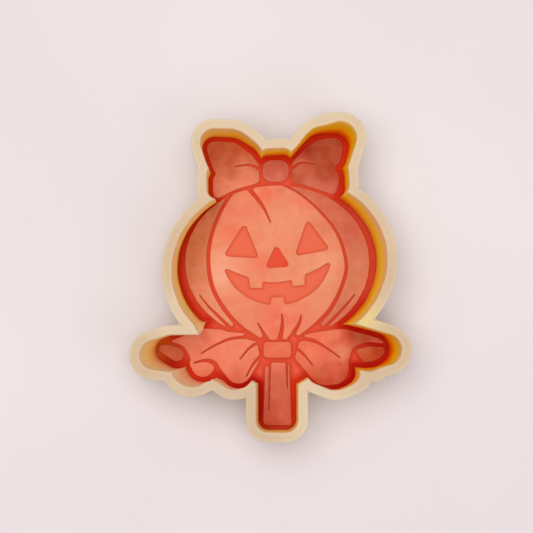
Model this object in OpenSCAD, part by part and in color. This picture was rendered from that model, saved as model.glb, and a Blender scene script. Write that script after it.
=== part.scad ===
// Silicone lollipop mould: one cavity in the shape of a carved pumpkin under a bow, with a gathered
// wrapper and the start of the stick below it. The cavity opens upwards (+Z), the bow points to +Y,
// and the origin is under the pumpkin's centre on the flat underside. Sizes in millimetres, turns in degrees.

/* [Walls] */
// Thickness of the base under the cavity
base_t = 3; // [2:0.5:8]
// Depth of the cavity, from the rim down to the floor layer
cavity_depth = 18; // [10:1:30]
// Width of the flat rim round the cavity
rim_w = 3.6; // [2.4:0.2:6]
// Rounding of the rim's edges
rim_round = 0.6; // [0.3:0.1:1]
// Rounding of the outer notches between the lobes
notch_round = 0.8; // [0.4:0.1:2]

/* [Relief] */
// Thickness of the red floor layer
layer_t = 1; // [0.6:0.1:2]
// Height of the relief pads above the floor layer
relief_h = 0.9; // [0.6:0.1:2]
// Width of the grooves between the pads
groove_w = 1.3; // [0.8:0.1:1.8]
// Width of a groove where it runs out
groove_tip_w = 0.5; // [0.4:0.1:0.7]
// Width of the gutter between the pads and the foot of the wall
gutter_w = 1.7; // [1:0.1:2.5]
// Rounding of the pads' corners
pad_round = 0.25; // [0.1:0.05:0.35]
// Rounding where folds of a pad meet its edge
fold_round = 0.8; // [0.4:0.1:1.2]
// Gap at the bond between the floor layer and the wall
bond_gap = 0.05; // [0.02:0.01:0.1]

/* [Pumpkin] */
// Width of the pumpkin
pumpkin_w = 68.4; // [60:0.2:80]
// Height of the pumpkin
pumpkin_h = 57.4; // [50:0.2:66]
// Width of each side rib at its middle
rib_w = 8.6; // [6:0.2:11]

/* [Face] */
// Turn of the whole face
face_tilt = 3.5; // [0:0.5:8]
// Width of an eye
eye_w = 12.4; // [8:0.2:14]
// Height of an eye
eye_h = 12; // [7:0.2:13]
// Distance between the middles of the eyes
eye_gap = 26.4; // [22:0.2:30]
// Height of the eyes' lower edges above the pumpkin's centre
eye_y = 3; // [2:0.2:6]
// Outward turn of each eye
eye_splay = 7; // [0:1:12]
// Width of the nose
nose_w = 8.6; // [5:0.2:10]
// Height of the nose
nose_h = 7.8; // [4:0.2:9]
// Height of the nose's lower edge above the pumpkin's centre
nose_y = -1.6; // [-2.5:0.1:0.5]
// Width of the mouth between its corners
mouth_w = 39.4; // [30:0.2:42]
// Height of the mouth's corners above the pumpkin's centre
mouth_y = -1; // [-3:0.1:0]
// Dip of the mouth's upper edge below its corners
mouth_dip = 5.8; // [4:0.1:8]
// Drop of the mouth's lower edge below its corners
mouth_drop = 14.6; // [11:0.1:16]
// Rounding of the eyes' and the nose's corners
eye_round = 0.8; // [0.4:0.1:1.2]
// Width of a tooth
tooth_w = 5; // [3:0.1:7]
// Length of a tooth
tooth_h = 2.4; // [1.5:0.1:3]
// Distance between the two upper teeth
tooth_gap = 15.8; // [12:0.2:20]

/* [Bow] */
// Width of the knot
knot_w = 9.7; // [7:0.1:13]
// Height of the knot
knot_h = 8.1; // [6:0.1:10]
// Rounding of the knot's corners
knot_round = 2.5; // [1:0.1:3]
// Sideways place of the knot
bow_x = -0.6; // [-2:0.1:2]
// Height of the knot's centre above the pumpkin's top
bow_rise = 5.4; // [5:0.1:8]
// Turn of the whole bow
bow_tilt = 1.6; // [0:0.2:5]
// Reach of a loop from the knot's centre
loop_reach = 25.4; // [22:0.2:32]
// Height of a loop's crown above the knot's centre
loop_top = 11.7; // [10:0.1:15]
// Drop of a loop's lower corner below the knot's centre
loop_drop = 9.5; // [7:0.1:12]

/* [Wrapper] */
// Width of the ribbon band
band_w = 10.1; // [8:0.1:12]
// Height of the ribbon band
band_h = 5.8; // [4:0.1:7]
// Rounding of the ribbon band's corners
band_round = 1.2; // [0.5:0.1:1.9]
// Distance of the band's centre below the pumpkin's bottom
band_drop = 3.7; // [3.7:0.1:6]
// Length of the left flare, from beside the band outwards
flare_left_l = 37; // [32:0.5:44]
// Length of the right flare, from beside the band outwards
flare_right_l = 33.2; // [28:0.2:40]
// Height of the flares
flare_h = 21; // [18:0.2:26]

/* [Stick] */
// Width of the stick strip at its lower end
stick_w = 10.6; // [8:0.1:13]
// Width that the strip loses on each side towards its upper end
stick_taper = 0.9; // [0:0.1:1.5]
// Length of the stick strip
stick_l = 23; // [16:0.5:40]
// Rounding of the channel's lower corners, inside the gutter
stick_round = 2.2; // [1:0.1:3.5]

/* [Hidden] */

CREAM = [0.87, 0.77, 0.63];
RED = [0.78, 0.2, 0.12];
CORAL = [0.93, 0.55, 0.42];

// Levels, and a thin slice that lets cuts pass through faces
floor_z = base_t + layer_t;
rim_z = floor_z + cavity_depth;
lap = 0.01;
$fn = 40;

// Places that hang from the pumpkin
half_w = pumpkin_w / 2;
half_h = pumpkin_h / 2;
knot_at = [bow_x, half_h + bow_rise];
band_at = [0, -half_h - band_drop];
loop_in = knot_w / 2 + groove_w;
flare_in = band_w / 2 + groove_w;
stick_top = band_at.y - band_h / 2 - 1.4 * groove_w;
stick_end = stick_top - stick_l;

// A motif is drawn in shares of its own sizes: the pumpkin's half width and height, a loop's reach and
// crown, or a flare's length and height. A third number is a radius, as a share of the height.
function turned(p, a) = [p.x * cos(a) - p.y * sin(a), p.x * sin(a) + p.y * cos(a)];
function in_pumpkin(points) = [for (p = points) [p.x * half_w, p.y * half_h]];
function in_bow(side, p) = knot_at + turned([side * p.x, p.y], bow_tilt);
function in_left(points) = [for (p = points) band_at + [-flare_in - p.x * flare_left_l, p.y * flare_h]];
function in_right(points) = [for (p = points) band_at + [flare_in + p.x * flare_right_l, p.y * flare_h]];
function with_radius(places, points, unit) = [for (i = [0 : len(points) - 1])
    [places[i].x, places[i].y, points[i].z * unit]];
function left_lobe(points) = with_radius(in_left(points), points, flare_h);
function right_lobe(points) = with_radius(in_right(points), points, flare_h);

// Smooth curve through a few points
function near(p, i) = i < 0 ? 2 * p[0] - p[1]
    : i >= len(p) ? 2 * p[len(p) - 1] - p[len(p) - 2] : p[i];
function blend(a, b, c, d, t) =
    b + 0.5 * t * (c - a + t * (2 * a - 5 * b + 4 * c - d + t * (3 * (b - c) + d - a)));
function curve(p, steps = 5) = [
    for (i = [0 : len(p) - 2], k = [0 : steps - 1])
        blend(near(p, i - 1), p[i], p[i + 1], near(p, i + 2), k / steps),
    p[len(p) - 1]];

// A groove along a curve, w0 wide at its start and w1 at its end
function across(q, i) = let(d = near(q, i + 1) - near(q, i - 1)) [-d.y, d.x] / norm(d);
function strip(q, w0, w1) = let(n = len(q) - 1) concat(
    [for (i = [0 : n]) q[i] + across(q, i) * (w0 + (w1 - w0) * i / n) / 2],
    [for (i = [n : -1 : 0]) q[i] - across(q, i) * (w0 + (w1 - w0) * i / n) / 2]);
module groove(path, w0 = groove_w, w1 = groove_tip_w) polygon(strip(curve(path), w0, w1));

// Lobes of the motif: each is the hull of a few circles, [x, y, radius]
core_r = 0.7 * half_h;
function oval(at, half_x, half_y, turn) = [for (a = [0 : 12 : 348])
    let(p = at + turned([(half_x - core_r) * cos(a), (half_y - core_r) * sin(a)], turn)) [p.x, p.y, core_r]];
pumpkin_lobe = oval([0, 0], half_w, half_h, 0);

tip_r = 0.12 * loop_top;
crown_r = 0.575 * loop_top;
corner_r = 0.24 * loop_top;
waist_r = 0.3 * loop_top;
function bow_lobe(side, circles) = [for (c = circles) let(p = in_bow(side, c)) [p.x, p.y, c.z]];
loop_waist = [0.88 * loop_reach - waist_r, 0.02 * loop_top, waist_r];
loop_root = [loop_in + tip_r, 0.18 * loop_top, tip_r];
left_upper = [loop_waist, loop_root,
    [loop_reach - corner_r, loop_top - corner_r, corner_r],
    [0.68 * loop_reach, 0.97 * loop_top - crown_r, crown_r],
    [0.47 * loop_reach, 0.31 * loop_top, 0.35 * loop_top]];
right_upper = [loop_waist, loop_root,
    [loop_reach - corner_r, 0.95 * loop_top - corner_r, corner_r],
    [0.72 * loop_reach, 0.39 * loop_top, 0.53 * loop_top]];
right_upper_rim = [
    [0.93 * loop_reach, 0.8 * loop_top, 0.36 * loop_top],
    [0.75 * loop_reach, 0.46 * loop_top, 0.54 * loop_top],
    [0.77 * loop_reach, 0.05 * loop_top, 0.43 * loop_top],
    [loop_in + 1.3 * tip_r, 0.2 * loop_top, 1.1 * tip_r]];
loop_lower = [
    [0.925 * loop_reach - waist_r, -0.36 * loop_drop, waist_r],
    [0.91 * loop_reach - tip_r, 1.3 * tip_r - loop_drop, 1.3 * tip_r],
    [loop_in + tip_r, 0.03 * loop_drop, tip_r],
    [loop_in + tip_r, -0.32 * loop_drop, tip_r]];
knot_lobe = bow_lobe(1, [for (i = [-1, 1], j = [-1, 1])
    [i * (knot_w / 2 - knot_round), j * (knot_h / 2 - knot_round), knot_round]]);
neck_lobe = [for (i = [-1, 1], y = [knot_at.y, half_h - bow_rise / 2])
    [knot_at.x + i * knot_w / 2, y, knot_round]];

left_tip_lobe = left_lobe([[0.91, -0.005, 0.148], [0.825, -0.03, 0.17], [0.57, 0.12, 0.238]]);
left_mid_lobe = left_lobe([[0.57, -0.28, 0.2], [0.5, 0.1, 0.238]]);
left_inner_lobe = left_lobe([[0.215, -0.362, 0.233], [0.02, -0.157, 0.038], [0.05, 0.12, 0.038],
    [0.44, 0.11, 0.219]]);
left_brow_lobe = left_lobe([[0.69, 0.09, 0.19], [0.55, 0.12, 0.22]]);
left_petal_lobe = left_lobe([[0.43, 0.15, 0.24], [0.2, 0.23, 0.03]]);
left_point = left_lobe([[0.17, 0.275, 0.02], [0.34, 0.22, 0.1]]);
left_curl_lobe = left_lobe([[0.969, 0.019, 0.071], [0.882, -0.02, 0.095], [0.831, -0.08, 0.12]]);
left_curl_bay = concat(left_curl_lobe,
    left_lobe([[1.15, -0.12, 0.1], [0.85, -0.45, 0.1], [0.78, -0.2, 0.09]]));

right_tip_lobe = right_lobe([[0.855, 0.015, 0.224], [0.77, -0.03, 0.19], [0.54, 0.08, 0.286],
    [0.2, 0.12, 0.095]]);
right_low_lobe = right_lobe([[0.43, -0.35, 0.267], [0.33, -0.376, 0.248], [0.05, -0.133, 0.067],
    [0.08, 0.09, 0.057], [0.47, 0.067, 0.238]]);
right_curl_lobe = right_lobe([[0.715, -0.03, 0.04], [0.79, -0.145, 0.07], [0.83, -0.055, 0.115],
    [0.97, 0.005, 0.05]]);
right_point = right_lobe([[0.125, 0.235, 0.02], [0.32, 0.18, 0.1]]);
right_curl_bay = concat(right_curl_lobe,
    right_lobe([[1.2, -0.1, 0.1], [0.95, -0.45, 0.1], [0.715, -0.22, 0.1]]));

gather_lobe = [for (i = [-1, 1])
    for (c = [[0.1, 0.14], [0.17, -0.42], [0.05, -0.49]])
        [i * (band_w / 2 + c.x * flare_h), band_at.y + c.y * flare_h, 0.03 * flare_h]];
corner_lobe = [for (p = in_pumpkin([[-0.746, -0.735], [-0.889, -0.568], [-0.35, -0.9]]))
    [p.x, p.y, 0.01 * half_h]];
stick_lobe = [for (i = [-1, 1], y = [stick_end + stick_round, stick_top - stick_round])
    [i * (stick_w / 2 - stick_round), y, stick_round]];

// A lobe as it stands at the rim: for each millimetre of depth its wall leans out by draft and goes
// sideways by slant
function leaned(lobe, draft, slant) = [for (c = lobe)
    [c.x + slant.x * cavity_depth, c.y + slant.y * cavity_depth, c.z + draft * cavity_depth]];

// Pockets of the cavity, each with its lobe at the foot of the wall and at the rim
pumpkin_foot = oval([-0.005 * half_w, -0.03 * half_h], 1.03 * half_w, 0.98 * half_h, 6);
pumpkin_rim = oval([0.038, -0.118] * cavity_depth,
    half_w + 0.178 * cavity_depth, half_h + 0.055 * cavity_depth, 10);
left_tip_rim = left_lobe([[1.03, -0.1, 0.17], [0.869, -0.076, 0.233], [0.6, -0.06, 0.22]]);
left_mid_rim = left_lobe([[0.66, -0.27, 0.295], [0.59, -0.12, 0.24]]);
left_inner_rim = left_lobe([[0.245, -0.355, 0.26], [0.05, -0.157, 0.06], [0.08, 0.1, 0.04],
    [0.44, -0.05, 0.2]]);
corner_rim = [for (p = in_pumpkin([[-0.772, -0.925], [-0.885, -0.66], [-0.35, -0.9], [-0.6, -1]]))
    [p.x, p.y, 0.01 * half_h]];
right_tip_rim = right_lobe([[0.98, -0.01, 0.19], [0.757, -0.015, 0.267], [0.55, 0.076, 0.3],
    [0.2, 0.12, 0.095]]);
right_low_rim = right_lobe([[0.435, -0.324, 0.295], [0.28, -0.35, 0.18], [0.06, -0.12, 0.08],
    [0.09, 0.1, 0.09], [0.48, 0.08, 0.272]]);
POCKETS = [
    [pumpkin_foot, pumpkin_rim],
    for (c = [left_upper, loop_lower]) let(b = bow_lobe(-1, c)) [b, leaned(b, 0.033, [0.033, 0])],
    [bow_lobe(1, right_upper), bow_lobe(1, right_upper_rim)],
    let(b = bow_lobe(1, loop_lower)) [b, leaned(b, 0.04, [0.02, 0])],
    for (b = [knot_lobe, neck_lobe]) [b, leaned(b, 0.02, [0, 0])],
    [left_tip_lobe, left_tip_rim],
    [left_mid_lobe, left_mid_rim],
    [left_inner_lobe, left_inner_rim],
    [corner_lobe, corner_rim],
    [right_tip_lobe, right_tip_rim],
    [right_low_lobe, right_low_rim],
    [gather_lobe, leaned(gather_lobe, 0.02, [0, 0])],
    [stick_lobe, leaned(stick_lobe, 0.03, [-0.015, 0.01])]];

module area(lobe, grow = 0) hull() for (c = lobe) translate([c.x, c.y])
    circle(c.z + grow, $fn = c.z < core_r ? $fn : 2 * $fn);
module foot_outline() for (p = POCKETS) area(p[0], gutter_w);
module rim_outline(grow = 0) for (p = POCKETS) area(p[1], gutter_w + grow);
module outer_outline() offset(r = -notch_round) offset(r = notch_round) rim_outline(rim_w);

// One level of a lobe, as a thin slice for a hull
module slice(lobe, z, grow) translate([0, 0, z]) linear_extrude(lap) area(lobe, gutter_w + grow);

// Leaning pocket with a rounded mouth
module pocket(foot, rim) {
    mouth = [for (a = [0, 45, 90]) [rim_z - rim_round * (1 - sin(a)), rim_round * (1 - cos(a))]];
    hull() {
        slice(foot, floor_z - layer_t / 2, -bond_gap);
        slice(rim, mouth[0].x, 0);
    }
    for (i = [0, 1]) hull() {
        slice(rim, mouth[i].x, mouth[i].y);
        slice(rim, mouth[i + 1].x, mouth[i + 1].y);
    }
}

// Rounded upper edge of the outside, on a stem that stands in the body
module rim_cap(rim) hull() {
    slice(rim, rim_z - 2 * rim_round, rim_w - bond_gap);
    for (a = [0, 45, 90])
        slice(rim, rim_z - lap - rim_round * (1 - sin(a)), rim_w - bond_gap - rim_round * (1 - cos(a)));
}

module mould_body() color(CREAM) difference() {
    union() {
        linear_extrude(rim_z - rim_round) outer_outline();
        for (p = POCKETS) rim_cap(p[1]);
    }
    translate([0, 0, base_t]) linear_extrude(layer_t) foot_outline();
    for (p = POCKETS) pocket(p[0], p[1]);
}

module floor_layer() color(RED) translate([0, 0, base_t]) linear_extrude(layer_t)
    offset(delta = -bond_gap) foot_outline();

// A relief pad: a flat shape with its corners rounded, standing on the floor layer
module softened(r) offset(r = r, $fn = 16) offset(r = -2 * r, $fn = 16) offset(r = r, $fn = 16) children();
module rounded(r) offset(r = r, $fn = 24) offset(r = -r, $fn = 24) children();
module pad() color(CORAL) translate([0, 0, floor_z]) linear_extrude(relief_h) softened(pad_round) children();

// Bow: a fold runs into each loop from the knot
bow_fold = [[loop_in - groove_w / 2, 0.05 * loop_top], [loop_in + 0.14 * loop_reach, 0.21 * loop_top],
    [loop_in + 0.36 * loop_reach, 0.17 * loop_top]];
module bow_loop(side, upper) pad() difference() {
    union() {
        area(bow_lobe(side, upper));
        area(bow_lobe(side, loop_lower));
    }
    area(pumpkin_lobe, groove_w);
    groove([for (p = bow_fold) in_bow(side, p)]);
}
module bow_left_loop() bow_loop(-1, left_upper);
module bow_right_loop() bow_loop(1, right_upper);
module bow_knot() pad() area(knot_lobe);

// Pumpkin: a line splits off each side rib, and creases and pleats run in from its edge
rib_u = 1 - rib_w / half_w;
left_rib_line = in_pumpkin([[-0.46, 0.95], [-0.6, 0.7], [-0.708, 0.38], [-rib_u, 0.05], [-0.708, -0.3],
    [-0.585, -0.585], [-0.41, -0.825], [-0.2, -1]]);
right_rib_line = in_pumpkin([[0, 1.04], [0.245, 0.89], [0.474, 0.65], [0.655, 0.366], [rib_u, 0],
    [0.716, -0.254], [0.594, -0.571], [0.424, -0.801], [0.22, -1]]);
left_crease = in_pumpkin([[-0.48, -0.88], [-0.658, -0.672], [-0.743, -0.571], [-0.845, -0.42]]);
right_crease = in_pumpkin([[0.48, -0.88], [0.69, -0.627], [0.775, -0.512], [0.845, -0.406]]);
crack = in_pumpkin([[-0.34, 1], [-0.2, 0.8], [-0.137, 0.683], [-0.07, 0.51]]);
pleats = [for (p = [
    [[-0.09, -1.04], [-0.143, -0.93], [-0.212, -0.78]],
    [[0.02, -1.04], [0.056, -0.8], [0.047, -0.66]],
    [[0.11, -1.04], [0.231, -0.8], [0.26, -0.68]]]) in_pumpkin(p)];
gather_bay = [for (i = [-1, 1]) [i * 0.36 * half_w, -0.93 * half_h, 0.19 * half_h]];
module beyond(side, line) polygon(concat(curve(line),
    [[side * pumpkin_w, -pumpkin_h], [side * pumpkin_w, pumpkin_h]]));
module rib_grooves() {
    groove(left_rib_line, groove_w, 1.3 * groove_w);
    groove(right_rib_line, 0.5 * groove_w, 1.4 * groove_w);
}
module pumpkin_rib(side, line, crease) pad() difference() {
    intersection() {
        area(pumpkin_lobe);
        beyond(side, line);
    }
    rib_grooves();
    groove(crease);
    area(gather_bay);
}
module pumpkin_left_rib() pumpkin_rib(-1, left_rib_line, left_crease);
module pumpkin_right_rib() pumpkin_rib(1, right_rib_line, right_crease);

// Cut-outs of the face
module eye(side) translate([side * eye_gap / 2, eye_y]) rotate(side * eye_splay)
    polygon([[-eye_w / 2, 0], [eye_w / 2, 0], [0.04 * eye_w, eye_h]]);
module nose() translate([0, nose_y]) polygon([[-nose_w / 2, 0], [nose_w / 2, 0], [0, nose_h]]);
function arc_r(chord, rise) = (chord * chord / 4 + rise * rise) / (2 * rise);
module under_arc(drop) {
    r = arc_r(mouth_w, drop);
    translate([0, mouth_y - drop + r]) circle(r, $fn = 3 * $fn);
}
module tooth(x, end, root) translate([x, 0]) polygon([[-tooth_w / 2, end], [tooth_w / 2, end],
    [0.65 * tooth_w, root], [-0.65 * tooth_w, root]]);
module mouth() difference() {
    under_arc(mouth_drop);
    under_arc(mouth_dip);
    for (side = [-1, 1])
        tooth(side * tooth_gap / 2 - 0.1 * tooth_w, mouth_y - mouth_dip - 0.7 * tooth_h, mouth_y);
    tooth(-0.16 * tooth_w, mouth_y - mouth_drop + 1.25 * tooth_h, mouth_y - mouth_drop - tooth_h);
}
module face_cuts() rotate(face_tilt) {
    rounded(eye_round) {
        eye(-1);
        eye(1);
        nose();
    }
    rounded(2 * pad_round) mouth();
}
module pumpkin_face() pad() difference() {
    rounded(fold_round) difference() {
        area(pumpkin_lobe);
        beyond(-1, left_rib_line);
        beyond(1, right_rib_line);
        rib_grooves();
        groove(crack, 1.4 * groove_w);
        for (p = pleats) groove(p, 1.5 * groove_w);
    }
    face_cuts();
}

// Wrapper: fingers of each flare run to the band, and a curl lies in a bay at its outer end
module ribbon_band() pad() translate(band_at) offset(r = band_round)
    square([band_w - 2 * band_round, band_h - 2 * band_round], center = true);
left_fingers = [for (p = [
    [[0.05, 0.23], [0.28, 0.2], [0.443, 0.086], [0.59, -0.065]],
    [[-0.04, 0.16], [0.09, 0.057], [0.205, -0.17]],
    [[-0.04, -0.05], [0.065, -0.243], [0.14, -0.475]]]) in_left(p)];
left_inner_curl = in_left([[0.38, -0.47], [0.425, -0.34], [0.45, -0.25], [0.495, -0.2], [0.555, -0.187],
    [0.615, -0.21], [0.645, -0.235]]);
module wrapper_left_flare() pad() difference() {
    union() {
        softened(2 * pad_round) difference() {
            union() {
                area(left_tip_lobe);
                area(left_mid_lobe);
                area(left_inner_lobe);
                area(left_brow_lobe);
                area(left_petal_lobe);
            }
            area(pumpkin_lobe, groove_w);
            area(left_curl_bay, groove_w);
        }
        area(left_point);
    }
    groove(left_inner_curl, 1.9 * groove_w);
    for (p = left_fingers) groove(p);
}
module wrapper_left_curl() pad() area(left_curl_lobe);
right_fingers = [for (p = [
    [[0.05, 0.2], [0.223, 0.148], [0.364, 0.024], [0.51, -0.14]],
    [[-0.04, 0.09], [0.087, -0.057], [0.205, -0.275]]]) in_right(p)];
module wrapper_right_flare() pad() difference() {
    union() {
        softened(2 * pad_round) difference() {
            union() {
                area(right_tip_lobe);
                area(right_low_lobe);
            }
            area(pumpkin_lobe, groove_w);
            area(right_curl_bay, 1.3 * groove_w);
        }
        area(right_point);
    }
    for (p = right_fingers) groove(p);
}
module wrapper_right_curl() pad() area(right_curl_lobe);

// Stick: a tapered strip with a groove along each edge
module stick_groove(side, reach) groove([for (t = [-0.05, reach / 2, reach])
    [side * (0.33 * stick_w + 0.6 * stick_taper * t), stick_top - t * stick_l]], 0.7 * groove_w);
module stick_strip() pad() difference() {
    polygon([[-stick_w / 2 + stick_taper, stick_top], [stick_w / 2 - stick_taper, stick_top],
        [stick_w / 2, stick_end], [-stick_w / 2, stick_end]]);
    stick_groove(-1, 0.76);
    stick_groove(1, 0.42);
}

mould_body();
floor_layer();
bow_left_loop();
bow_knot();
bow_right_loop();
pumpkin_left_rib();
pumpkin_face();
pumpkin_right_rib();
wrapper_left_flare();
wrapper_left_curl();
ribbon_band();
wrapper_right_flare();
wrapper_right_curl();
stick_strip();
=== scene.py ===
"""Looks of the silicone lollipop mould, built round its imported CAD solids.

Lengths and places are in millimetres, and MM turns them into the scene's metres.
"""
import math

import bmesh
import bpy
import numpy as np
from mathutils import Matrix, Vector
from mathutils.bvhtree import BVHTree
from mathutils.geometry import delaunay_2d_cdt


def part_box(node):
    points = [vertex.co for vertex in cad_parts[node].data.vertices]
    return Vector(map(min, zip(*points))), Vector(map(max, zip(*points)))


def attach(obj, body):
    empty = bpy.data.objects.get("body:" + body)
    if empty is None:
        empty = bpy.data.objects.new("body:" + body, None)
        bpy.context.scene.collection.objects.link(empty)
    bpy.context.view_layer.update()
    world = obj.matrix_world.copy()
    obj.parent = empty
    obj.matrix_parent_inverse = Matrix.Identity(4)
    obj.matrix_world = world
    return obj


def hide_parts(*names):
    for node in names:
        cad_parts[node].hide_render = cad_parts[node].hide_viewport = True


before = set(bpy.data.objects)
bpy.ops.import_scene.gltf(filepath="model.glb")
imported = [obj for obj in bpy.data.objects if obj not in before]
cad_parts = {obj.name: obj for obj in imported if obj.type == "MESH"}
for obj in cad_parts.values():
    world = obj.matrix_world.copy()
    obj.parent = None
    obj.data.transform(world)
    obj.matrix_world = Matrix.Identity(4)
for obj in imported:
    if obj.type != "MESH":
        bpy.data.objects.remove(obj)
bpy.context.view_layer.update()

MM = 0.001
BODY = "mould_body"
FLOOR = "floor_layer"
STICK = "stick_strip"
PADS = [n for n in sorted(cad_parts) if n not in (BODY, FLOOR)]

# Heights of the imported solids: underside and top of the floor layer, top of the pads and rim of the body
LAYER_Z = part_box(FLOOR)[0].z / MM
FLOOR_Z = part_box(FLOOR)[1].z / MM
PAD_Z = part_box("pumpkin_face")[1].z / MM
RIM_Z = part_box(BODY)[1].z / MM

# Form of a relief pad: an upright wall, a small rounded edge and a slight crown, sunk a little in the floor
EDGE_ROUND = 0.3
PAD_CROWN = 0.15
CROWN_REACH = 3.0
PAD_SINK = 0.1
# How far the floor runs under the wall
UNDER_WALL = 0.05

# Moves that set the cast's outlines right, each as place, reach and move. RIM_MOVES shift the body and the
# floor, FOOT_MOVES the wall's foot and the floor, and PAD_MOVES one pad.
RIM_MOVES = (((-23, -41), 4.5, (0, -2)), ((32, -44), 9, (2, -0.6)), ((11.5, 47), 9, (-0.9, 0.9)),
             ((16.5, 53.5), 5, (-0.3, 1.2)), ((-25.7, -24.7), 1.6, (-0.9, 1.1)))
FOOT_MOVES = (((-26, -23.6), 3.2, (0.1, 1.3)), ((10, 42.5), 9, (-0.2, 0.2)), ((21.7, 34.5), 5, (-0.4, 1.2)),
              ((19, 46.5), 7, (0, 0.6)), ((-9, 42), 7, (0.25, 0.55)), ((-36.5, -38), (7, 4), (-0.2, -1)))
PAD_MOVES = {
    "bow_knot": (((-5.4, 37.8), 4, (0.3, -0.3)), ((4.2, 37.8), 4, (-0.3, -0.3)),
                 ((-5.4, 29.9), 4, (0.3, 0.3)), ((4.2, 29.9), 4, (-0.3, 0.3))),
    "bow_right_loop": (((10, 42.5), 9, (-0.55, 0.65)), ((21.7, 34.5), 5, (-0.4, 1.2)),
                       ((19, 46.5), 7, (0, 0.8)), ((23, 26), 4, (-1, 0.3))),
    "pumpkin_face": (((0.5, -8), (22, 4.5), (0, -1.2)),),
    "wrapper_left_flare": (((-31.4, -36.6), 3.2, (-1, 0)), ((-32.9, -35), 2.2, (0.6, 0)),
                           ((-25.6, -25.4), (3, 2.5), (0, 0.7)), ((-22.3, -24.2), (4, 2.5), (0, -0.55))),
    "wrapper_right_flare": (((16.5, -26.2), (9, 4), (0, 1)), ((38, -29.2), 4, (1.1, -0.5))),
    "wrapper_right_curl": (((36.9, -35.1), 5, (0.5, -1.2)),),
    STICK: (((-5.3, -60.3), 1.5, (0.5, 0.5)), ((6.4, -60.3), 1.5, (-0.5, 0.5))),
}
# The stick's long groove: the box round its points, and their move
GROOVE_BOX = ((-4.25, -55), (-2.5, -37))
GROOVE_MOVE = (0.8, 0)
# Growth of the holes in a pad
HOLE_GROWTH = 0.3
# Share of the way to the middle of its neighbours that a smoothing moves a point
SMOOTHING = 0.5

# Mesh points: along the outlines, on rings inside them, then on an even grid
OUTLINE_STEP = 0.7
PAD_RINGS = (0.03, 0.1, 0.3, 0.7)
PAD_PITCH = 1.1
FLOOR_RINGS = (0.5, 1.2, 2.2)
FLOOR_PITCH = 1.5
# Rings on the floor round the pads, and the least distance of their points from the wall
GROOVE_RINGS = (0.02, 0.3, 0.65, 1.1, 1.8)
WALL_CLEAR = 0.25
# Least distance of a ring's points from any outline, as a share of the ring's own distance
RING_SHARE = 0.93
# Distance from the last ring to the grid, as a share of the grid's pitch
GRID_SHARE = 0.4
# Size of a cell in which only the first point stays
CELL = 0.09

# Tolerances: decimals of a place, height of a flat top, distance of a point on an edge, distances at which
# points of a solid and of a filled outline merge, and a guard against division by zero
DECIMALS = 4
FLAT_TOP = 0.01
ON_EDGE = 0.001
WELD = 0.005
MERGE = 1e-5
TINY = 1e-12
# Points measured at once
BATCH = 500

# Angles between faces up to which they count as one flat face, and up to which they shade smoothly
FLAT_ANGLE = math.radians(0.6)
SHARP_ANGLE = math.radians(50)
# Test for a wall of the cavity: how far in front of it the look down starts, and its normal's greatest rise
PROBE = 0.3
WALL_RISE = 0.9
# Cuts in the body's long edges near a move, and the pull of large faces on its normals
BEND_CUTS = (7, 3, 1)
NORMAL_WEIGHT = 80


def srgb(r, g, b):
    """A colour given as 0 to 255 screen values, as the linear colour that a shader takes."""
    def linear(v):
        v /= 255
        return v / 12.92 if v <= 0.04045 else ((v + 0.055) / 1.055) ** 2.4
    return (linear(r), linear(g), linear(b), 1)


def top_loops(name):
    """Closed outlines of a node's flat top, with the solid on the left of each edge."""
    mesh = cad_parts[name].data
    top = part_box(name)[1].z
    edges = set()
    for poly in mesh.polygons:
        corners = [mesh.vertices[i].co for i in poly.vertices]
        if min(c.z for c in corners) < top - FLAT_TOP * MM:
            continue
        ring = [(round(c.x / MM, DECIMALS), round(c.y / MM, DECIMALS)) for c in corners]
        for a, b in zip(ring, ring[1:] + ring[:1]):
            if (b, a) in edges:
                edges.remove((b, a))
            else:
                edges.add((a, b))
    after = {}
    for a, b in sorted(edges):
        after.setdefault(a, []).append(b)
    loops = []
    while after:
        start = min(after)
        loop = [start]
        point = start
        while True:
            choices = after[point]
            step = choices.pop()
            if not choices:
                del after[point]
            if step == start:
                break
            loop.append(step)
            point = step
        loops.append(np.array(loop))
    return loops


def divided(loop, step):
    """The loop with its long edges split."""
    out = []
    for a, b in zip(loop, np.roll(loop, -1, axis=0)):
        n = max(1, math.ceil(np.linalg.norm(b - a) / step))
        out += [a + (b - a) * k / n for k in range(n)]
    return np.array(out)


def edge_distance(points, loops):
    """Distance of each point to the nearest edge of the loops."""
    a = np.concatenate(loops)
    d = np.concatenate([np.roll(k, -1, axis=0) for k in loops]) - a
    length = np.maximum((d * d).sum(1), TINY)
    out = np.empty(len(points))
    for i in range(0, len(points), BATCH):
        rel = points[i:i + BATCH, None, :] - a[None]
        t = np.clip((rel * d).sum(2) / length, 0, 1)
        out[i:i + BATCH] = np.sqrt(((rel - t[..., None] * d) ** 2).sum(2).min(1))
    return out


def inside(points, loops):
    """Whether each point is inside the loops, by the even-odd rule."""
    a = np.concatenate(loops)
    b = np.concatenate([np.roll(k, -1, axis=0) for k in loops])
    rise = np.where(a[:, 1] == b[:, 1], TINY, b[:, 1] - a[:, 1])
    out = np.empty(len(points), bool)
    for i in range(0, len(points), BATCH):
        p = points[i:i + BATCH]
        spans = (a[:, 1] > p[:, 1, None]) != (b[:, 1] > p[:, 1, None])
        x = a[:, 0] + (p[:, 1, None] - a[:, 1]) * (b[:, 0] - a[:, 0]) / rise
        out[i:i + BATCH] = (spans & (p[:, 0, None] < x)).sum(1) % 2 == 1
    return out


def turn_of(loop):
    """Twice the loop's area, negative for a loop round a hole."""
    ahead = np.roll(loop, -1, axis=0)
    return (loop[:, 0] * ahead[:, 1] - loop[:, 1] * ahead[:, 0]).sum()


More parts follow.
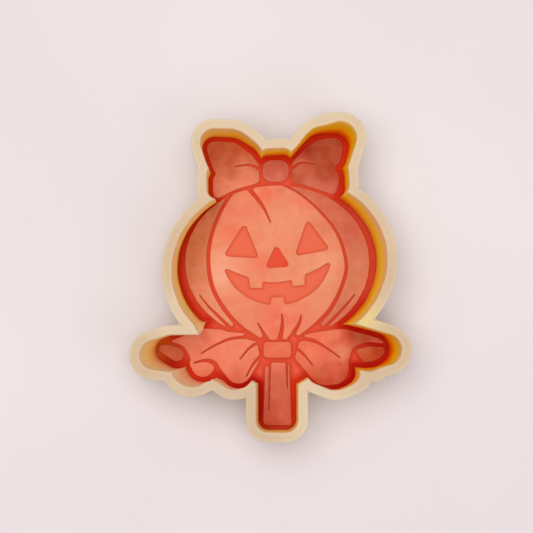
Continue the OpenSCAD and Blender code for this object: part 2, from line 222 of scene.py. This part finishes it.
def ring_points(loop, gap):
    """Points at a distance to the left of each point of the loop."""
    ahead = np.roll(loop, -1, axis=0) - np.roll(loop, 1, axis=0)
    normal = np.stack([-ahead[:, 1], ahead[:, 0]], 1)
    normal /= np.maximum(np.linalg.norm(normal, axis=1), TINY)[:, None]
    return loop + gap * normal


def eased(points, moves):
    """The points after some moves, each in full at its place and fading to nothing at its reach."""
    for at, reach, move in moves:
        far = (((points - np.array(at)) / np.array(reach)) ** 2).sum(1)
        points = points + np.array(move) * (np.maximum(1 - far, 0) ** 2)[:, None]
    return points


def smoothed(loop):
    """The loop with its small corners rounded."""
    between = (np.roll(loop, 1, axis=0) + np.roll(loop, -1, axis=0)) / 2
    return loop + SMOOTHING * (between - loop)


def pad_loops(name):
    """A pad's outlines, set right and with short edges."""
    out = []
    for loop in top_loops(name):
        loop = divided(loop, OUTLINE_STEP)
        if name == STICK:
            low, high = np.array(GROOVE_BOX)
            loop = loop + np.array(GROOVE_MOVE) * ((loop > low) & (loop < high)).all(1)[:, None]
        if turn_of(loop) < 0:
            loop = ring_points(loop, HOLE_GROWTH)
        out.append(smoothed(smoothed(eased(loop, PAD_MOVES.get(name, ())))))
    return out


def thinned(points):
    """The points with those that nearly fall together taken out."""
    cells = {}
    for p in points:
        cells.setdefault((round(p[0] / CELL), round(p[1] / CELL)), p)
    return np.array(list(cells.values()))


def groove_points(floor, pads):
    """Points on the floor in rings round the pads."""
    found = []
    for gap in GROOVE_RINGS:
        for loop in pads:
            ring = ring_points(loop, -gap)
            keep = inside(ring, floor) & ~inside(ring, pads)
            keep &= (edge_distance(ring, pads) > RING_SHARE * gap) & (edge_distance(ring, floor) > WALL_CLEAR)
            found.append(ring[keep])
    return thinned(np.concatenate(found))


def inner_points(loops, rings, pitch):
    """Points inside the loops: rings along the outline, then an even grid."""
    found = []
    for gap in rings:
        for loop in loops:
            ring = ring_points(loop, gap)
            keep = inside(ring, loops) & (edge_distance(ring, loops) > RING_SHARE * gap)
            found.append(ring[keep])
    corners = np.concatenate(loops)
    low = corners.min(0)
    high = corners.max(0)
    rows = np.arange(low[1], high[1], pitch * math.sqrt(3) / 2)
    grid = np.array([[x + pitch / 2 * (j % 2), y] for j, y in enumerate(rows)
                     for x in np.arange(low[0], high[0], pitch)])
    grid = grid[inside(grid, loops)]
    found.append(grid[edge_distance(grid, loops) > rings[-1] + GRID_SHARE * pitch])
    return thinned(np.concatenate(found))


def filled(loops, extra):
    """Vertices and triangles that fill the loops and use the extra points."""
    points = [Vector(p) for k in loops for p in k]
    edges = []
    start = 0
    for k in loops:
        n = len(k)
        edges += [(start + i, start + (i + 1) % n) for i in range(n)]
        start += n
    points += [Vector(p) for p in extra]
    verts, _, faces, _, _, _ = delaunay_2d_cdt(points, edges, [], 0, MERGE)
    verts = np.array([tuple(v) for v in verts])
    centres = np.array([verts[list(f)].mean(0) for f in faces])
    return verts, [f for f, ok in zip(faces, inside(centres, loops)) if ok]


def new_piece(name, mesh):
    """An object in the scene for a mesh."""
    piece = bpy.data.objects.new(name, mesh)
    bpy.context.scene.collection.objects.link(piece)
    return piece


def shaded_piece(name, bm):
    """A piece from an edit mesh, shaded smoothly up to its sharp edges."""
    for f in bm.faces:
        f.smooth = True
    for e in bm.edges:
        e.smooth = len(e.link_faces) == 2 and e.calc_face_angle(0) < SHARP_ANGLE
    mesh = bpy.data.meshes.new(name)
    bm.to_mesh(mesh)
    bm.free()
    return new_piece(name, mesh)


def pad_marks(verts, pads):
    """For points of the floor, the distance to the nearest pad, and whether they lie in a hole of one."""
    holes = [k for k in pads if turn_of(k) < 0]
    return {"pad_gap": edge_distance(verts, pads) * ~inside(verts, pads), "hole": inside(verts, holes)}


def capped(name, loops, points, height, bottom, pads=()):
    """A closed piece over the loops. height gives its top from the distance to the outline."""
    verts, faces = filled(loops, points)
    gap = edge_distance(verts, loops)
    gap[gap < ON_EDGE] = 0
    marks = {"edge_gap": gap}
    if pads:
        marks.update(pad_marks(verts, pads))
    bm = bmesh.new()
    layers = {k: bm.verts.layers.float.new(k) for k in marks}
    top = []
    for i, (p, z) in enumerate(zip(verts, height(gap))):
        v = bm.verts.new((p[0] * MM, p[1] * MM, z * MM))
        for k, layer in layers.items():
            v[layer] = float(marks[k][i])
        top.append(v)
    for f in faces:
        bm.faces.new([top[i] for i in f])
    bm.normal_update()
    for f in bm.faces:
        if f.normal.z < 0:
            f.normal_flip()
    rim = [e for e in bm.edges if len(e.link_faces) == 1]
    side = bmesh.ops.extrude_edge_only(bm, edges=rim)["geom"]
    low_edges = [g for g in side if isinstance(g, bmesh.types.BMEdge)]
    low_verts = [g for g in side if isinstance(g, bmesh.types.BMVert)]
    for v in low_verts:
        v.co.z = bottom * MM
    bmesh.ops.triangle_fill(bm, edges=[e for e in low_edges if len(e.link_faces) == 1], use_beauty=True)
    bmesh.ops.delete(bm, geom=[v for v in bm.verts if not v.link_faces], context="VERTS")
    bmesh.ops.recalc_face_normals(bm, faces=bm.faces)
    return shaded_piece(name, bm)


def pad_height(gap):
    """Top of a pad: a rounded edge, then a slight crown."""
    fall = 1 - np.minimum(gap / EDGE_ROUND, 1)
    crown = PAD_CROWN * (1 - np.exp(-np.maximum(gap - EDGE_ROUND, 0) / CROWN_REACH))
    return PAD_Z - EDGE_ROUND * (1 - np.sqrt(1 - fall * fall)) + crown


def floor_height(gap):
    """Top of the floor layer, which is flat."""
    return np.full(len(gap), FLOOR_Z)


def pad_piece(name, loops):
    """A relief pad on the floor."""
    points =inner_points(loops, PAD_RINGS, PAD_PITCH)
    return capped(name, loops, points, pad_height, FLOOR_Z - PAD_SINK)


def floor_piece(name, pads):
    """The floor layer, with points along the wall and round the pads for its colour."""
    loops = [eased(divided(k, OUTLINE_STEP), RIM_MOVES + FOOT_MOVES) for k in top_loops(FLOOR)]
    loops = [ring_points(k, -UNDER_WALL) for k in loops]
    points = np.concatenate([inner_points(loops, FLOOR_RINGS, FLOOR_PITCH), groove_points(loops, pads)])
    return capped(name, loops, points, floor_height, LAYER_Z, pads)


def mark_cavity(bm, inner):
    """Marks with 1 each wall that has a part of the body below the place in front of it."""
    tree = BVHTree.FromBMesh(bm)
    down = Vector((0, 0, -1))
    for f in bm.faces:
        start = f.calc_center_median() + f.normal * PROBE * MM
        hit = tree.ray_cast(start, down)[0]
        f[inner] = 1.0 if hit is not None and abs(f.normal.z) < WALL_RISE else 0.0


def split_bends(bm):
    """Splits the body's long edges near a move, so that it bends there."""
    for cuts in BEND_CUTS:
        long = [e for e in bm.edges if e.calc_length() > (cuts + 1) * OUTLINE_STEP * MM]
        middles = np.array([(e.verts[0].co.xy + e.verts[1].co.xy) / 2 for e in long]) / MM
        bends = np.abs(eased(middles, RIM_MOVES + FOOT_MOVES) - middles).sum(1) > 0
        bmesh.ops.bisect_edges(bm, edges=[e for e, ok in zip(long, bends) if ok], cuts=cuts)


def move_body(bm, inner, off_mouth):
    """Sets the body's points right, and marks with 1 those that aren't on the cavity's wall."""
    cavity = {v for f in bm.faces if f[inner] for v in f.verts}
    places = np.array([v.co.xy for v in bm.verts]) / MM
    foot_moves = eased(places, FOOT_MOVES) - places
    for v, place, move in zip(bm.verts, eased(places, RIM_MOVES), foot_moves):
        depth = (RIM_Z - v.co.z / MM) / (RIM_Z - FLOOR_Z) if v in cavity else 0
        v.co.xy = (place + move * min(depth, 1)) * MM
        v[off_mouth] = 0.0 if v in cavity else 1.0


def body_piece(name):
    """The body's solid, set right, with smooth normals and with marks for its cavity and its mouth."""
    bm = bmesh.new()
    bm.from_mesh(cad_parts[BODY].data)
    bmesh.ops.remove_doubles(bm, verts=bm.verts, dist=WELD * MM)
    bmesh.ops.dissolve_limit(bm, angle_limit=FLAT_ANGLE, verts=bm.verts, edges=bm.edges)
    bm.normal_update()
    inner = bm.faces.layers.float.new("inner")
    off_mouth = bm.verts.layers.float.new("off_mouth")
    mark_cavity(bm, inner)
    split_bends(bm)
    move_body(bm, inner, off_mouth)
    bmesh.ops.triangulate(bm, faces=[f for f in bm.faces if len(f.verts) > 4])
    piece = shaded_piece(name, bm)
    normals = piece.modifiers.new("even_normals", "WEIGHTED_NORMAL")
    normals.keep_sharp = True
    normals.weight = NORMAL_WEIGHT
    return piece


# Skin of the silicone. A cloud is a noise's scale, detail and roughness, then the span of it that counts.
GLOSS_CLOUD = (130, 3, 0.5, 0.3, 0.7)
ROUGH_SPREAD = (-0.05, 0.08)
GRAIN_NOISE = (900, 3, 0.6)
GRAIN_DEPTH = 0.03
GRAIN_STRENGTH = 0.25
# How far red, green and blue light goes under the skin, as shares of the depth
GLOW_REACH = (1, 0.6, 0.4)
# Sockets of a colour mix
MIX_INPUTS = (6, 7)
MIX_OUTPUT = 2


class Shader:
    """A material's node tree with short calls."""

    def __init__(self, name):
        self.material = bpy.data.materials.new(name)
        self.material.use_nodes = True
        self.tree = self.material.node_tree
        self.surface = self.tree.nodes["Principled BSDF"]
        self.place = self.node("ShaderNodeTexCoord").outputs["Object"]

    def node(self, kind, **settings):
        n = self.tree.nodes.new(kind)
        for k, v in settings.items():
            setattr(n, k, v)
        return n

    def join(self, source, target):
        self.tree.links.new(source, target)

    def noise(self, scale, detail, roughness):
        n = self.node("ShaderNodeTexNoise")
        n.inputs["Scale"].default_value = scale
        n.inputs["Detail"].default_value = detail
        n.inputs["Roughness"].default_value = roughness
        self.join(self.place, n.inputs["Vector"])
        return n.outputs["Fac"]

    def cloud(self, kind, low, high):
        """A kind of cloud, going from one value to another."""
        scale, detail, roughness, least, most = kind
        return self.spread(self.noise(scale, detail, roughness), least, most, low, high)

    def attribute(self, name):
        return self.node("ShaderNodeAttribute", attribute_name=name).outputs["Fac"]

    def spread(self, value, low, high, to_low, to_high):
        """A value's span from low to high, brought to another span and held at its ends."""
        n = self.node("ShaderNodeMapRange")
        self.join(value, n.inputs["Value"])
        for key, v in (("From Min", low), ("From Max", high), ("To Min", to_low), ("To Max", to_high)):
            n.inputs[key].default_value = v
        return n.outputs["Result"]

    def sum(self, a, b):
        n = self.node("ShaderNodeMath", operation="ADD")
        self.join(a, n.inputs[0])
        self.join(b, n.inputs[1])
        return n.outputs[0]

    def ramp(self, value, stops):
        n = self.node("ShaderNodeValToRGB")
        marks = n.color_ramp.elements
        while len(marks) < len(stops):
            marks.new(1)
        for mark, (at, colour) in zip(marks, stops):
            mark.position = at
            mark.color = srgb(*colour)
        self.join(value, n.inputs["Fac"])
        return n.outputs["Color"]

    def mix(self, share, *colours):
        """A first colour, turning into a second one with the share. Each is screen values or a socket."""
        n = self.node("ShaderNodeMix", data_type="RGBA")
        self.join(share, n.inputs["Factor"])
        for key, v in zip(MIX_INPUTS, colours):
            if isinstance(v, tuple):
                n.inputs[key].default_value = srgb(*v)
            else:
                self.join(v, n.inputs[key])
        return n.outputs[MIX_OUTPUT]

    def height(self, low, high):
        """Share of the way from one height to another."""
        split = self.node("ShaderNodeSeparateXYZ")
        self.join(self.place, split.inputs[0])
        return self.spread(split.outputs["Z"], low * MM, high * MM, 0, 1)

    def along(self, direction, low, high):
        """Share of the way from one place to another along a direction."""
        dot = self.node("ShaderNodeVectorMath", operation="DOT_PRODUCT")
        self.join(self.place, dot.inputs[0])
        dot.inputs[1].default_value = (*direction, 0)
        return self.spread(dot.outputs["Value"], low * MM, high * MM, 0, 1)

    def near(self, at, core, reach, level=FLOOR_Z):
        """1 up to a core distance from a place, falling to 0 at its reach."""
        n = self.node("ShaderNodeVectorMath", operation="DISTANCE")
        self.join(self.place, n.inputs[0])
        n.inputs[1].default_value = [v * MM for v in (*at, level)]
        return self.spread(n.outputs["Value"], core * MM, reach * MM, 1, 0)

    def finish(self, colour, rough, gloss_level, glow, depth):
        """Satin silicone: fine cast grain, uneven gloss and some light passing under the skin."""
        self.join(colour, self.surface.inputs["Base Color"])
        gloss = self.cloud(GLOSS_CLOUD, rough + ROUGH_SPREAD[0], rough + ROUGH_SPREAD[1])
        self.join(gloss, self.surface.inputs["Roughness"])
        self.surface.inputs["Specular IOR Level"].default_value = gloss_level
        self.surface.inputs["Subsurface Weight"].default_value = glow
        self.surface.inputs["Subsurface Radius"].default_value = GLOW_REACH
        self.surface.inputs["Subsurface Scale"].default_value = depth * MM
        bump = self.node("ShaderNodeBump")
        bump.inputs["Strength"].default_value = GRAIN_STRENGTH
        bump.inputs["Distance"].default_value = GRAIN_DEPTH * MM
        self.join(self.noise(*GRAIN_NOISE), bump.inputs["Height"])
        self.join(bump.outputs["Normal"], self.surface.inputs["Normal"])
        return self.material


# The body's cream, with painted shade turning to painted light along a direction and round places at the rim
# with core and reach
CREAM_PAINTED_SHADE = (210, 190, 163)
CREAM_PAINTED_LIGHT = (221, 202, 175)
PAINTED_LIGHT_ALONG = ((0.2, 1), 0, 45)
PAINTED_LIGHT_PLACES = (((12, -49), 9, 22), ((-35, -22), 6, 15))
CREAM_CLOUD = (45, 3, 0.5, 0.35, 0.65)
CREAM_DRIFT = 0.3
# A painted glow of light at a place on the rim, and the lip round the cavity's mouth with its share of the
# rim's width
PAINTED_GLOW = (230, 208, 150)
PAINTED_GLOW_PLACE = ((31, -21), 2, 9)
LIP = (226, 188, 134)
LIP_SHARE = 0.5
# Cavity walls, from the floor to the rim: gold on the right, straw on the left, deep amber at the right loop
# and the right wing, tan along the lower left. The rise from red to cream is partly the silicone's own colour
# and partly a painted glow of light through the wall; the changes by side and place are painted light and
# shade.
GOLD_STOPS = [(0.0, (252, 104, 34)), (0.07, (255, 152, 47)), (0.21, (252, 179, 31)), (0.36, (246, 197, 36)),
              (0.5, (238, 205, 54)), (0.64, (234, 200, 83)), (0.79, (225, 194, 129)), (0.93, (222, 188, 150))]
STRAW_STOPS = [(0.0, (252, 116, 48)), (0.06, (255, 170, 70)), (0.2, (255, 224, 105)), (0.45, (247, 221, 124)),
               (0.7, (237, 218, 146)), (0.87, (229, 205, 150)), (1.0, (222, 198, 164))]
AMBER_STOPS = [(0.0, (236, 60, 4)), (0.12, (250, 86, 4)), (0.25, (254, 126, 2)), (0.39, (250, 174, 2)),
               (0.54, (240, 196, 0)), (0.68, (234, 196, 16)), (0.82, (230, 196, 58)), (0.96, (226, 192, 122))]
TAN_STOPS = [(0.0, (252, 116, 70)), (0.05, (255, 160, 111)), (0.23, (255, 184, 144)), (0.41, (250, 197, 151)),
             (0.59, (236, 208, 163)), (0.77, (228, 210, 168)), (0.95, (222, 202, 170))]
STRAW_ALONG = ((-1, -0.3), 0, 25)
LOOP_PAINTED_GLOW = ((22, 44), 20, 32)
WING_PAINTED_GLOW = ((40, -29), 10, 25)
TAN_PLACE = ((-25, -44), 18, 28)
WALL_CLOUD = (70, 2, 0.5, 0.3, 0.7)
# How far a cloud shifts the stops of the wall and of the floor
STOP_DRIFT = 0.05


def body_material():
    s = Shader("cast_cream_silicone")
    # Painted light and shade on the cream: lighter along a direction and round places at the rim
    rim_painted_light = s.along(*PAINTED_LIGHT_ALONG)
    for place in PAINTED_LIGHT_PLACES:
        rim_painted_light = s.sum(rim_painted_light, s.near(*place, RIM_Z))
    rim_painted_light = s.sum(rim_painted_light, s.cloud(CREAM_CLOUD, -CREAM_DRIFT, CREAM_DRIFT))
    cream = s.mix(rim_painted_light, CREAM_PAINTED_SHADE, CREAM_PAINTED_LIGHT)
    # Painted glow: a yellower place on the rim where light comes through the silicone
    cream = s.mix(s.near(*PAINTED_GLOW_PLACE, RIM_Z), cream, PAINTED_GLOW)
    cream = s.mix(s.spread(s.attribute("off_mouth"), 0, LIP_SHARE, 0, 1), LIP, cream)
    # From red at the foot to cream at the rim: partly the silicone's own colour, partly a painted glow up the
    # wall
    rise = s.sum(s.height(FLOOR_Z, RIM_Z), s.cloud(WALL_CLOUD, -STOP_DRIFT, STOP_DRIFT))
    # Painted glow: deep amber where light comes through the walls at the right loop and the right wing
    wall_painted_glow = s.sum(s.near(*LOOP_PAINTED_GLOW), s.near(*WING_PAINTED_GLOW))
    # Painted light and shade by side: gold on the right, straw on the left
    wall = s.mix(s.along(*STRAW_ALONG), s.ramp(rise, GOLD_STOPS), s.ramp(rise, STRAW_STOPS))
    wall = s.mix(wall_painted_glow, wall, s.ramp(rise, AMBER_STOPS))
    # Painted light and shade by place: tan along the lower left
    wall = s.mix(s.near(*TAN_PLACE), wall, s.ramp(rise, TAN_STOPS))
    colour = s.mix(s.attribute("inner"), cream, wall)
    return s.finish(colour, rough=0.5, gloss_level=0.08, glow=1, depth=6)


# Floor, over a distance from the nearest pad: between the pads, and in the holes of the face. It is darker
# next to the pads, as painted shade in the grooves and round the holes' edges
GROOVE_REACH = 2.2
GROOVE_STOPS = [(0.0, (222, 84, 54)), (0.3, (220, 80, 50)), (0.55, (228, 88, 60)), (0.85, (236, 100, 76)),
                (1.0, (238, 104, 80))]
HOLE_STOPS = [(0.0, (226, 94, 66)), (0.2, (232, 106, 76)), (0.5, (236, 114, 84)), (1.0, (236, 116, 86))]
NOSE = (232, 88, 62)
NOSE_PLACE = ((0, 1), 6, 8)
FLOOR_CLOUD = (90, 2, 0.5, 0.3, 0.7)
# Floor along the wall, in a band that fades out between two distances from it. Its deeper red is partly the
# floor's own colour and partly painted shade from the wall
GUTTER = ((206, 44, 4), (216, 54, 14))
GUTTER_CLOUD = (80, 2, 0.5, 0.35, 0.65)
GUTTER_FADE = (1.2, 3.8)
# Places along the wall with painted light and shade, a paler red where the wall is lit and deep red and brick
# where it shades the floor, then painted shade in the wings, as colour, place, core and reach
PAINTED_LIT_RED = (208, 72, 44)
PAINTED_SHADE_RED = (188, 6, 0)
PAINTED_SHADE_BRICK = (191, 38, 0)
GUTTER_PAINTED_LIGHT_AND_SHADE = ((PAINTED_LIT_RED, (36, 4), 16, 28), (PAINTED_LIT_RED, (0, -63), 5, 9), (PAINTED_SHADE_BRICK, (-34, 2), 18, 28),
                (PAINTED_SHADE_RED, (-9, -50), 6, 14), (PAINTED_SHADE_RED, (38, -28), 10, 18), (PAINTED_SHADE_RED, (28, -46), 5, 12))
WING_PAINTED_SHADE = (((194, 34, 6), (38, -30), 4, 11), ((184, 32, 2), (-40, -37), 2, 8),
              ((196, 92, 18), (-45, -31), 3, 8))


def floor_material():
    s = Shader("cast_red_silicone")
    # Painted shade: the floor darker next to the pads
    gap = s.spread(s.attribute("pad_gap"), 0, GROOVE_REACH, 0, 1)
    gap = s.sum(gap, s.cloud(FLOOR_CLOUD, -STOP_DRIFT, STOP_DRIFT))
    hole = s.mix(s.near(*NOSE_PLACE), s.ramp(gap, HOLE_STOPS), NOSE)
    open_floor = s.mix(s.attribute("hole"), s.ramp(gap, GROOVE_STOPS), hole)
    # Deeper red along the wall's foot: the floor's own red and painted shade from the wall
    gutter = s.mix(s.cloud(GUTTER_CLOUD, 0, 1), *GUTTER)
    # Painted light and shade along the wall
    for painted_colour, *place in GUTTER_PAINTED_LIGHT_AND_SHADE:
        gutter = s.mix(s.near(*place), gutter, painted_colour)
    colour = s.mix(s.spread(s.attribute("edge_gap"), *GUTTER_FADE, 0, 1), gutter, open_floor)
    # Painted shade in the wings
    for painted_colour, *place in WING_PAINTED_SHADE:
        colour = s.mix(s.near(*place), colour, painted_colour)
    return s.finish(colour, rough=0.55, gloss_level=0.05, glow=0.6, depth=1.2)


# Colours of the pads' clouds, blots, flecks and edges; umber is painted shadow
ROSE = (240, 110, 84)
PEACH = (238, 162, 126)
TAWNY = (206, 100, 70)
PAINTED_SHADOW_UMBER = (178, 66, 20)
BLUSH = (242, 172, 142)
FLECK = (250, 190, 150)
TINT_CLOUD = (95, 3, 0.6, 0.34, 0.66)
TINT_DRIFT = 0.25
ROSE_CLOUD = (140, 3, 0.55, 0.48, 0.7)
PEACH_CLOUD = (75, 3, 0.6, 0.52, 0.72)
FLECK_CLOUD = (210, 3, 0.5, 0.4, 0.7)
FLECK_SHARE = 0.14
# Nearness at which a blot is at its full strength
BLOT_FULL = 0.8
# Painted light along a pad's edge, fading out between two distances from it
EDGE_PAINTED_LIGHT = 0.2
EDGE_FADE = (0.1, 0.6)
# Tints of each pad: painted light, painted shade, the painted light's place, its core and its reach,
# the strength of its clouds, then blots with their place, size and strength
# Umber blots on the loops and on the right flare are painted shadow from the rim and wall
TINTS = {
    "bow_left_loop": ((232, 138, 106), (198, 94, 48), (-17, 24), 4, 18, 0.15,
                      ((PAINTED_SHADOW_UMBER, (-19, 39), 11, 0.5), (PAINTED_SHADOW_UMBER, (-17, 34), 6, 0.4))),
    "bow_knot": ((208, 106, 82), (200, 98, 74), (0, 32), 0, 8, 0.1),
    "bow_right_loop": ((208, 108, 84), (180, 66, 30), (17, 24), 4, 18, 0.1,
                       ((PAINTED_SHADOW_UMBER, (19, 40), 11, 0.7), (PAINTED_SHADOW_UMBER, (17, 33), 6, 0.6), (PAINTED_SHADOW_UMBER, (21.5, 36), 5, 0.6),
                        (TAWNY, (9, 37), 6, 1.0))),
    "pumpkin_left_rib": ((230, 148, 114), (200, 110, 66), (-23, -16), 6, 15, 0.12),
    "pumpkin_face": ((236, 148, 112), (234, 136, 104), (4, 4), 8, 30, 0.5,
                     ((ROSE, (-6, 0), 8, 0.7), (ROSE, (0, -20), 14, 0.7), (ROSE, (-16, 11), 7, 0.6),
                      (ROSE, (-4, 25), 6, 0.7), (TAWNY, (16, 13), 8, 0.5), (TAWNY, (1, 27), 4, 0.4),
                      (BLUSH, (-20, -4), 13, 0.9), (PEACH, (16, -2), 10, 0.8), (PEACH, (-2, 14), 8, 0.2))),
    "pumpkin_right_rib": ((217, 130, 98), (210, 108, 80), (30, -7), 7, 16, 0.12,
                          ((TAWNY, (25, 15), 7, 0.6),)),
    "wrapper_left_flare": ((240, 136, 106), (228, 124, 96), (-19, -33), 6, 18, 0.35,
                           # The peach blot at the wall is painted light over the wall's shade
                           ((PEACH, (-33, -29), 7, 0.6), (TAWNY, (-14.5, -40.5), 7, 0.5),
                            (TAWNY, (-27, -27), 4, 0.25))),
    "wrapper_left_curl": ((202, 98, 62), (194, 86, 50), (-38, -33), 0, 8, 0.1),
    "ribbon_band": ((234, 112, 82), (232, 108, 78), (0, -32), 0, 8, 0.2),
    "wrapper_right_flare": ((240, 116, 86), (204, 82, 48), (13, -32), 5, 16, 0.2,
                            ((PEACH, (23, -34), 6, 0.6), (PEACH, (19.5, -27), 6, 0.4),
                             (PAINTED_SHADOW_UMBER, (31, -26.5), 8, 0.8), (TAWNY, (16.5, -39.5), 7, 0.5))),
    "wrapper_right_curl": ((206, 98, 48), (186, 58, 0), (31, -34), 1, 7, 0.05),
    STICK: ((236, 126, 96), (214, 101, 75), (0, -36), 1, 7, 0.1),
}


def coral_material(name, pad_painted_light, pad_painted_shade, at, core, reach, cloud, blots=()):
    """Coral silicone, with painted light round a place and painted shade away from it, clouded and with soft
    blots.
    """
    s = Shader(name)
    drift = s.cloud(TINT_CLOUD, -TINT_DRIFT, TINT_DRIFT)
    # Painted shade away from the place, turning to painted light round it
    tint = s.mix(s.sum(s.near(at, core, reach), drift), pad_painted_shade, pad_painted_light)
    tint = s.mix(s.cloud(ROSE_CLOUD, 0, cloud), tint, ROSE)
    for colour, place, size, strength in blots:
        blot = s.spread(s.near(place, 0, size), 0, BLOT_FULL, -TINT_DRIFT, strength)
        tint = s.mix(s.sum(blot, drift), tint, colour)
    tint = s.mix(s.cloud(PEACH_CLOUD, 0, cloud), tint, PEACH)
    tint = s.mix(s.cloud(FLECK_CLOUD, 0, FLECK_SHARE), tint, FLECK)
    # Painted light: peach along the pad's edge
    tint = s.mix(s.spread(s.attribute("edge_gap"), *EDGE_FADE, EDGE_PAINTED_LIGHT, 0), tint, PEACH)
    return s.finish(tint, rough=0.5, gloss_level=0.1, glow=0.6, depth=1.2)


def add_piece(piece, node, material):
    """Puts a piece with its material in a node's place."""
    piece.data.materials.append(material)
    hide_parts(node)
    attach(piece, "root")


def build_part():
    add_piece(body_piece("cream_body"), BODY, body_material())
    pads = {n: pad_loops(n) for n in PADS}
    every = [k for n in PADS for k in pads[n]]
    add_piece(floor_piece("red_floor", every), FLOOR, floor_material())
    for n in PADS:
        material = coral_material("coral_silicone_" + n, *TINTS[n])
        add_piece(pad_piece(n + "_relief", pads[n]), n, material)


# View of the photograph: from almost straight above, a little towards the stick
IMAGE_PX = 533
FOCAL_PX = 1670
SENSOR = 36.0
CLIP_START = 10
EYE = Vector((-4, -42.3, RIM_Z + 600)) * MM
AIM = Vector((-4, -2.7, RIM_Z)) * MM


def build_camera():
    data = bpy.data.cameras.new("camera")
    data.sensor_fit = "HORIZONTAL"
    data.sensor_width = SENSOR
    data.lens = SENSOR * FOCAL_PX / IMAGE_PX
    data.clip_start = CLIP_START * MM
    camera = bpy.data.objects.new("camera", data)
    camera.location = EYE
    camera.rotation_euler = (AIM - EYE).to_track_quat("-Z", "Y").to_euler()
    bpy.context.scene.collection.objects.link(camera)
    bpy.context.scene.camera = camera


# Table, just below the part
TABLE_REACH = 3000
TABLE_DROP = 0.2
TABLE_COLOURS = ((238, 228, 229), (234, 223, 225))
TABLE_CLOUD = (6, 2, 0.5, 0.4, 0.6)
TABLE_ROUGH = 0.7


def table_material():
    s = Shader("pale_table")
    s.join(s.mix(s.cloud(TABLE_CLOUD, 0, 1), *TABLE_COLOURS), s.surface.inputs["Base Color"])
    s.surface.inputs["Roughness"].default_value = TABLE_ROUGH
    return s.material


def build_table():
    mesh = bpy.data.meshes.new("table")
    r = TABLE_REACH * MM
    mesh.from_pydata([(-r, -r, 0), (r, -r, 0), (r, r, 0), (-r, r, 0)], [], [(0, 1, 2, 3)])
    table = new_piece("table", mesh)
    table.location.z = -TABLE_DROP * MM
    table.data.materials.append(table_material())


# Lamps that face the part, as name, place, size, power in watts and colour, and the strength of the white sky
LAMPS = (("key", (-100, 60, 640), 600, 2.6, (1, 0.98, 0.96)),
         ("fill", (450, -350, 500), 500, 0.9, (1, 1, 1)))
SKY_STRENGTH = 0.46


def build_light():
    for name, at, size, power, colour in LAMPS:
        data = bpy.data.lights.new(name, "AREA")
        data.size = size * MM
        data.energy = power
        data.color = colour
        lamp = bpy.data.objects.new(name, data)
        lamp.location = Vector(at) * MM
        lamp.rotation_euler = (-Vector(at)).to_track_quat("-Z", "Y").to_euler()
        bpy.context.scene.collection.objects.link(lamp)
    world = bpy.data.worlds.new("studio")
    bpy.context.scene.world = world
    world.use_nodes = True
    sky = world.node_tree.nodes["Background"]
    sky.inputs["Color"].default_value = (1, 1, 1, 1)
    sky.inputs["Strength"].default_value = SKY_STRENGTH


build_camera()
build_part()
build_table()
build_light()
bpy.context.scene.view_settings.view_transform = "Standard"
